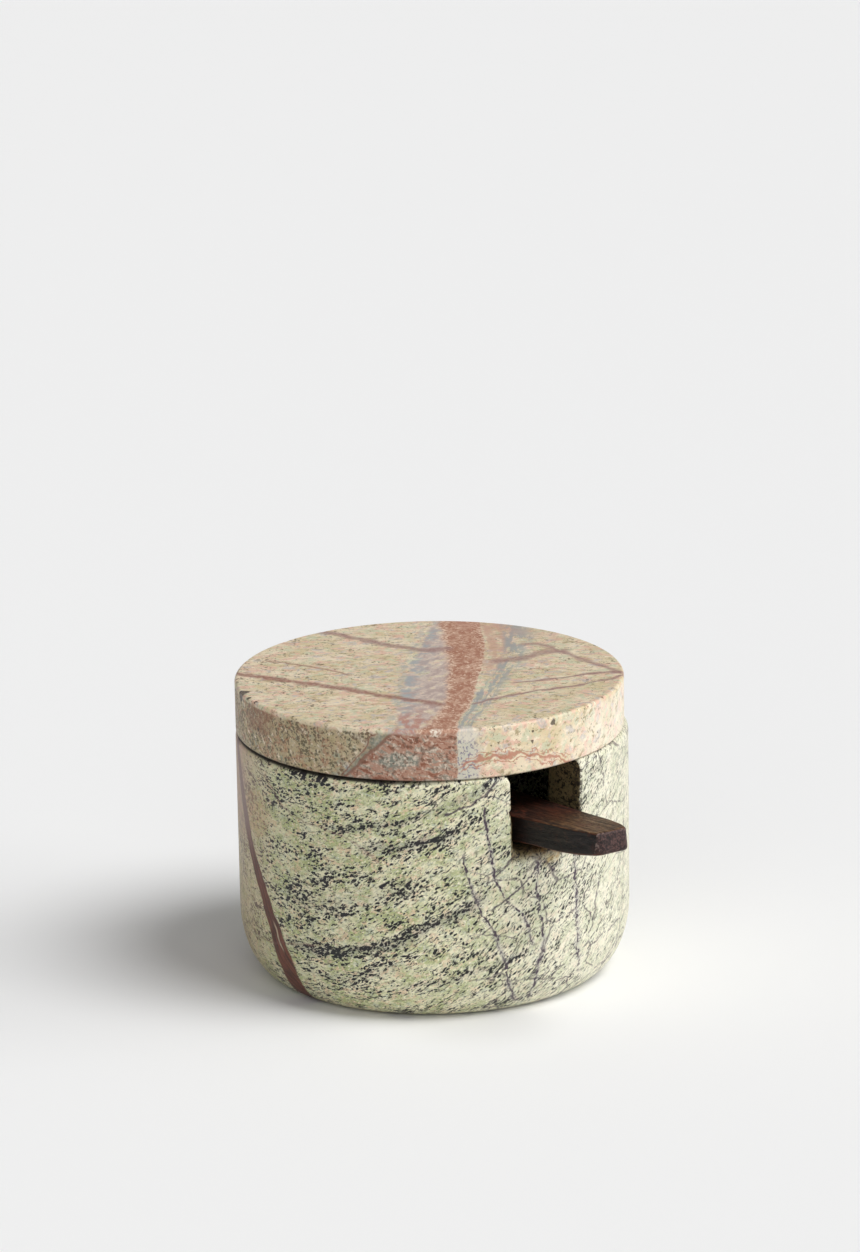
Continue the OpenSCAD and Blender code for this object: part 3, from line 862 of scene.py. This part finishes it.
def lid_wear_and_shade(s):
    """A pale bruise on the front edge, a burnt place and chips at the left, pits, and painted shade in the
    seam, darkest on the left.
    The result is the chips and pits."""
    bruise = s.times(s.spot(s.warp(s.place, 0.9, 3.4, 5), (0.9, 44.3, LID_TOP - 0.2), 1.5),
                     s.step(s.grains, 0.42, 0.54, 0.15, 0.9))
    around = s.times(s.spot(s.warp(s.place, 1.5, 4, 4), (8, 43.5, LID_TOP - 1), 2.6), 0.45)
    s.paint(s.most(bruise, around), rgb(236, 224, 206))
    burnt = s.spot(s.warp(s.place, 2, 3), (-38, 22, LID_TOP - 1.2), 7)
    s.paint(s.times(burnt, s.step(s.grains, 0.4, 0.55, 0.2, 0.8), s.on_side), rgb(140, 98, 70))
    ragged = s.warp(s.place, 1.5, 2.2, 5)
    chips = s.most(*(s.spot(ragged, middle, reach) for middle, reach in LID_CHIPS))
    s.paint(s.times(chips, 0.9), s.fade(s.grains, 0.45, 0.6, rgb(48, 36, 32), rgb(128, 112, 104)))
    ragged = s.warp(s.place, 0.8, 1.1, 4)
    pits = s.most(*(s.spot(ragged, middle, reach) for middle, reach in LID_PITS))
    s.paint(s.times(pits, 0.85), rgb(72, 60, 50))
    # Painted shade in the seam above the pot, darkest on the left
    seam_shade = s.times(s.step(s.down, 11.3, 11.75), s.step(s.out, 43.4, 44))
    s.paint(s.times(seam_shade, s.step(s.right, 20, -20, 0.4, 0.95)), rgb(40, 28, 22))
    return s.most(pits, chips)


def stone_lid(piece):
    """Cream stone with rust, mauve and blue-grey veins across it."""
    s = LidStone()
    lid_ground(s)
    specks = lid_specks(s)
    band = s.mix(s.on_side, band_on_top(s), band_on_side(s))
    lid_fan(s)
    s.paint(s.times(s.step(s.lilac, -0.7, 0.7), s.step(s.edge, -0.25, 0.25)), band)
    lid_violet(s)
    lid_veins(s)
    lid_lines(s)
    holes = lid_wear_and_shade(s)
    height = s.plus(s.times(s.streaks, 0.4), s.times(specks, -0.6), s.times(holes, -6))
    s.finish(piece, s.step(s.streaks, 0.3, 0.7, 0.55, 0.42), height, 0.03)


def wood_places(s, along):
    """Places in millimetres, how far along the grain they are, and the same places drawn out along it: much
    for fibres, and less for pores."""
    here = s.vector("MULTIPLY", s.here, (1 / MM,) * 3)
    far = s.dot(here, along)
    drawn = [s.vector("ADD", here, s.scaled(along, s.times(far, -share))) for share in (0.965, 0.8)]
    return here, far, *drawn


def brown_wood(piece):
    """Dark oiled wood, its grain along the handle: golden at the end, sides near-black mainly as painted
    shade, and end grain.
    """
    s = Shade("spoon_wood")
    along = Vector((math.cos(SLOPE) * math.cos(TURN), math.cos(SLOPE) * math.sin(TURN), math.sin(SLOPE)))
    here, far, fibres, short = wood_places(s, along)
    rings = s.noise(s.warp(fibres, 5, 2), 1.1, 3, 0.6)
    hairs = s.noise(fibres, 0.28, 2, 0.6)
    pores = s.noise(s.warp(short, 1, 0.6), 0.34, 3, 0.6)
    wear = s.noise(here, 3.5, 3, 0.6)
    normal = s.add("TexCoord", {}, "Normal")
    upward = s.dot(normal, Vector((-math.sin(SLOPE), 0, math.cos(SLOPE))))
    outward = s.dot(normal, along)

    # Each face has its own ground, the sides' near-black being mainly painted shade
    top = s.fade(rings, 0.35, 0.65, rgb(34, 18, 13), rgb(74, 44, 30))
    golden = s.fade(rings, 0.35, 0.65, rgb(54, 36, 24), rgb(112, 82, 54))
    top = s.fade(far, 54, 66, top, golden)
    # Near-black sides: mainly painted shade
    side = s.fade(rings, 0.35, 0.65, rgb(13, 9, 9), rgb(28, 20, 19))
    side = s.fade(s.absolute(upward), 0.3, 0.7, side, rgb(84, 44, 30))
    end = s.fade(s.noise(here, 0.5), 0.4, 0.62, rgb(48, 33, 33), rgb(86, 61, 57))
    s.colour = s.fade(outward, 0.5, 0.9, s.fade(upward, 0.5, 0.9, side, top), end)

    # Worn and dark places, hairs, pores, flakes on the top, and pale nicks round the end, partly a painted
    # highlight on its edges
    s.paint(s.times(s.step(wear, 0.52, 0.66), s.step(upward, 0.4, 0.8, 0.25, 0.55)), rgb(84, 42, 28))
    s.paint(s.times(s.step(wear, 0.46, 0.36), 0.5), rgb(14, 10, 11))
    s.paint(s.times(s.step(hairs, 0.55, 0.64), 0.5), rgb(22, 14, 12))
    s.paint(s.times(s.step(pores, 0.45, 0.37), 0.75), rgb(16, 10, 9))
    flakes = s.times(s.step(pores, 0.57, 0.65), s.step(upward, 0.5, 0.9, 0.06, 0.6))
    s.paint(flakes, s.fade(far, 50, 60, rgb(132, 76, 58), rgb(150, 116, 84)))
    # Pale nicks round the end's edges, partly a painted highlight
    nicks = s.step(s.noise(here, 1.6, 4, 0.6), 0.53, 0.6, 0.0, 0.5)
    s.paint(s.times(s.within(outward, 0.5, 0.85, 0.1), nicks), rgb(146, 124, 116))

    height = s.plus(s.times(hairs, 0.5), s.times(rings, 0.4), s.times(s.step(pores, 0.37, 0.45), 0.8))
    s.put(s.surface.inputs["Specular IOR Level"], 0.3)
    s.finish(piece, s.step(rings, 0.3, 0.7, 0.6, 0.44), height, 0.08)


stone_pot(pot)
stone_lid(lid)
brown_wood(spoon)

for piece, node in ((pot, "pot"), (lid, "lid"), (spoon, "spoon")):
    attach(piece, node)
    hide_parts(node)

# Camera, fitted to the lid's edges, the silhouettes, the heel and the notch: it looks down and leans a little
CAMERA_PLACE = Vector((0.9359, -0.6505, 0.4054))
LENS, LOOKS_DOWN, LEANS = 149.48, math.radians(15.92), -0.0173
camera = bpy.data.objects.new("camera", bpy.data.cameras.new("camera"))
camera.data.lens = LENS
camera_turn = Matrix.Rotation(ACROSS, 3, "Z") @ Matrix.Rotation(math.pi / 2 - LOOKS_DOWN, 3, "X")
camera_turn = camera_turn @ Matrix.Rotation(LEANS, 3, "Z")
camera.matrix_world = Matrix.LocRotScale(CAMERA_PLACE, camera_turn, None)
bpy.context.scene.collection.objects.link(camera)
bpy.context.scene.camera = camera

# Pale floor, in metres
FLOOR_HALF, FLOOR_GREY = 6, 0.907
floor_mesh = bpy.data.meshes.new("floor")
corners = [(x * FLOOR_HALF, y * FLOOR_HALF, 0) for x, y in ((-1, -1), (1, -1), (1, 1), (-1, 1))]
floor_mesh.from_pydata(corners, [], [(0, 1, 2, 3)])
floor = bpy.data.objects.new("floor", floor_mesh)
bpy.context.scene.collection.objects.link(floor)
paper = bpy.data.materials.new("floor")
paper.use_nodes = True
paper_surface = paper.node_tree.nodes["Principled BSDF"]
paper_surface.inputs["Base Color"].default_value = (FLOOR_GREY, FLOOR_GREY, FLOOR_GREY, 1)
paper_surface.inputs["Roughness"].default_value = 0.9
floor_mesh.materials.append(paper)

# Soft lamps: each with its strength, its size, how far it stands in front of image right, and its height
for name, energy, size, aside, height in (
    ("key", 1.85, 32, 24, 58), ("side", 1.51, 44, 6, 18), ("fill", 0.5, 60, 100, 30),
):
    lamp = bpy.data.lights.new(name, "SUN")
    lamp.energy = energy
    lamp.angle = math.radians(size)
    toward = RIGHT * math.cos(math.radians(aside)) + NEAR * math.sin(math.radians(aside))
    toward += Vector((0, 0, math.tan(math.radians(height))))
    stand = bpy.data.objects.new(name, lamp)
    stand.matrix_world = Matrix.LocRotScale(None, toward.to_track_quat("Z", "Y"), None)
    bpy.context.scene.collection.objects.link(stand)
world = bpy.data.worlds.new("studio")
world.use_nodes = True
background = world.node_tree.nodes["Background"]
background.inputs["Color"].default_value = (1, 1, 1, 1)
background.inputs["Strength"].default_value = 0.235
bpy.context.scene.world = world
bpy.context.scene.view_settings.view_transform = "Standard"
